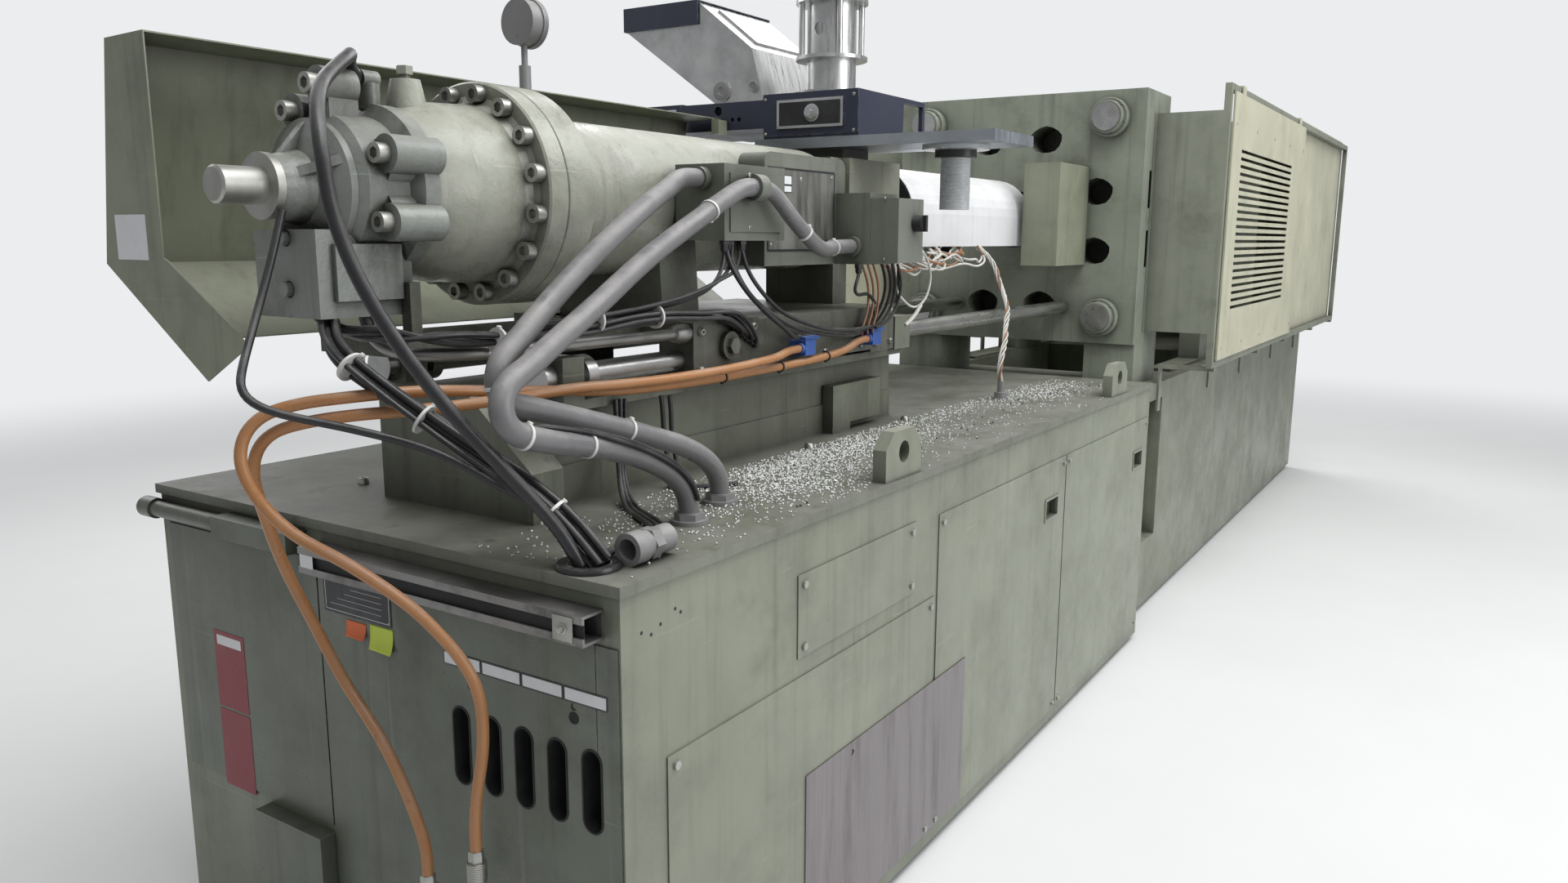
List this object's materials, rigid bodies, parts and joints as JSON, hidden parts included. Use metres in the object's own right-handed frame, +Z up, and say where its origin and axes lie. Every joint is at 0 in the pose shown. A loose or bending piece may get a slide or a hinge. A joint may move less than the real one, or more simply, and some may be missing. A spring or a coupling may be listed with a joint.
{
  "type": "injection moulding machine",
  "caption": "Horizontal injection moulding machine: long bed, hydraulic injection unit with hopper on a slide plate, platens with tie bars, and sliding gates round the clamp.",
  "frame": {"origin": "on the floor under the middle of the machine's length, in its vertical middle plane", "axes": "+X from the injection unit towards the clamp, +Y towards the operator's side, +Z up"},
  "size_m": [7.5981, 1.723, 2.3332],
  "materials": {
    "sage_paint": "satin grey-green machine paint, dirty and worn at the edges",
    "blue_paint": "bluish grey-green satin paint on the motor and boxes",
    "cream_paint": "pale cream-green satin paint on the clamp's guards",
    "white_paint": "white satin paint on the barrel's cover",
    "black_paint": "dark navy and black satin paint",
    "bright_steel": "machined, brushed or zinc-plated bare steel",
    "clear_plastic": "clouded clear plastic tube",
    "grey_plastic": "grey flexible conduit and its glands",
    "black_rubber": "black hoses and cables",
    "copper_hose": "orange-brown air hose, dirty",
    "blue_plastic": "blue handles of the couplings",
    "black_plastic": "black switch knob",
    "red_plastic": "red stop button"
  },
  "bodies": {
    "machine": {"levelling_pads": "black_paint", "bed_frame": "sage_paint", "bed_top": "sage_paint", "rear_panel": "sage_paint", "cabinet_panel": "sage_paint", "rear_channel": "bright_steel", "side_covers": "sage_paint", "bare_sheet": "bright_steel", "side_panels": "sage_paint", "cover_screws": "bright_steel", "lifting_lugs": "sage_paint", "bed_fittings": "grey_plastic", "injection_base": "sage_paint", "guide_rods": "bright_steel", "fixed_platen": "sage_paint", "tie_bars": "bright_steel", "clamp_cylinder": "sage_paint", "end_guards": "cream_paint", "clamp_covers": "cream_paint", "control_panel": "cream_paint", "purge_guard": "sage_paint"},
    "injection_unit": {"carriage": "sage_paint", "far_guard": "sage_paint", "gauge": "bright_steel", "hose_couplings": "blue_plastic", "air_hose_1": "copper_hose", "air_hose_2": "copper_hose", "hose_ends": "bright_steel", "injection_cylinder": "sage_paint", "cylinder_head": "sage_paint", "cap_screws": "bright_steel", "motor_case": "blue_paint", "motor_cover": "blue_paint", "shaft_cap": "bright_steel", "barrel": "bright_steel", "barrel_cover": "white_paint", "feed_throat": "sage_paint", "slide_plate": "bright_steel", "drain_spout": "clear_plastic", "terminal_box": "blue_paint", "heater_box": "sage_paint", "heater_box_cover": "black_paint", "gland_box": "blue_paint", "conduits": "grey_plastic", "link_conduit": "grey_plastic", "motor_hose": "black_rubber", "cable_bundle": "black_rubber"},
    "injection_piston": {"injection_piston": "bright_steel"},
    "screw": {"screw": "bright_steel"},
    "switch_knob": {"switch_knob": "black_plastic"},
    "hopper_unit": {"hopper_base": "black_paint", "hopper": "bright_steel", "loader_neck": "bright_steel"},
    "magnet_drawer": {"magnet_drawer": "bright_steel"},
    "hopper_lid": {"hopper_lid": "black_paint"},
    "moving_platen": {"moving_platen": "sage_paint", "clamp_ram": "bright_steel"},
    "near_gate": {"near_gate": "cream_paint"},
    "operator_gate": {"operator_gate": "cream_paint"},
    "stop_button": {"stop_button": "red_plastic"}
  },
  "joints": [
    {"name": "carriage_slide", "type": "slide", "parent": "machine", "child": "injection_unit", "axis": [-1, 0, 0], "range_m": [0, 0.3], "deforming": ["conduits", "motor_hose", "cable_bundle"]},
    {"name": "injection_stroke", "type": "slide", "parent": "injection_unit", "child": "injection_piston", "axis": [1, 0, 0], "range_m": [0, 0.3]},
    {"name": "screw_turn", "type": "hinge", "parent": "injection_piston", "child": "screw", "pos_m": [-2.2, 0, 1.683], "axis": [1, 0, 0], "continuous": true},
    {"name": "heater_switch", "type": "hinge", "parent": "injection_unit", "child": "switch_knob", "pos_m": [-2, -0.447, 1.64], "axis": [0, -1, 0], "range_deg": [0, 90]},
    {"name": "hopper_slide", "type": "slide", "parent": "injection_unit", "child": "hopper_unit", "axis": [0, -1, 0], "range_m": [0, 0.425]},
    {"name": "drawer_slide", "type": "slide", "parent": "hopper_unit", "child": "magnet_drawer", "axis": [-1, 0, 0], "range_m": [0, 0.2]},
    {"name": "lid_hinge", "type": "hinge", "parent": "hopper_unit", "child": "hopper_lid", "pos_m": [-1.638, 0.7174, 2.26], "axis": [1, 0, 0], "range_deg": [-100, 0]},
    {"name": "clamp_stroke", "type": "slide", "parent": "machine", "child": "moving_platen", "axis": [-1, 0, 0], "range_m": [0, 0.55]},
    {"name": "near_gate_slide", "type": "slide", "parent": "machine", "child": "near_gate", "axis": [1, 0, 0], "range_m": [0, 1.6]},
    {"name": "operator_gate_slide", "type": "slide", "parent": "machine", "child": "operator_gate", "axis": [1, 0, 0], "range_m": [0, 1.6]},
    {"name": "stop_press", "type": "slide", "parent": "machine", "child": "stop_button", "axis": [0, -1, 0], "range_m": [0, 0.006]}
  ]
}
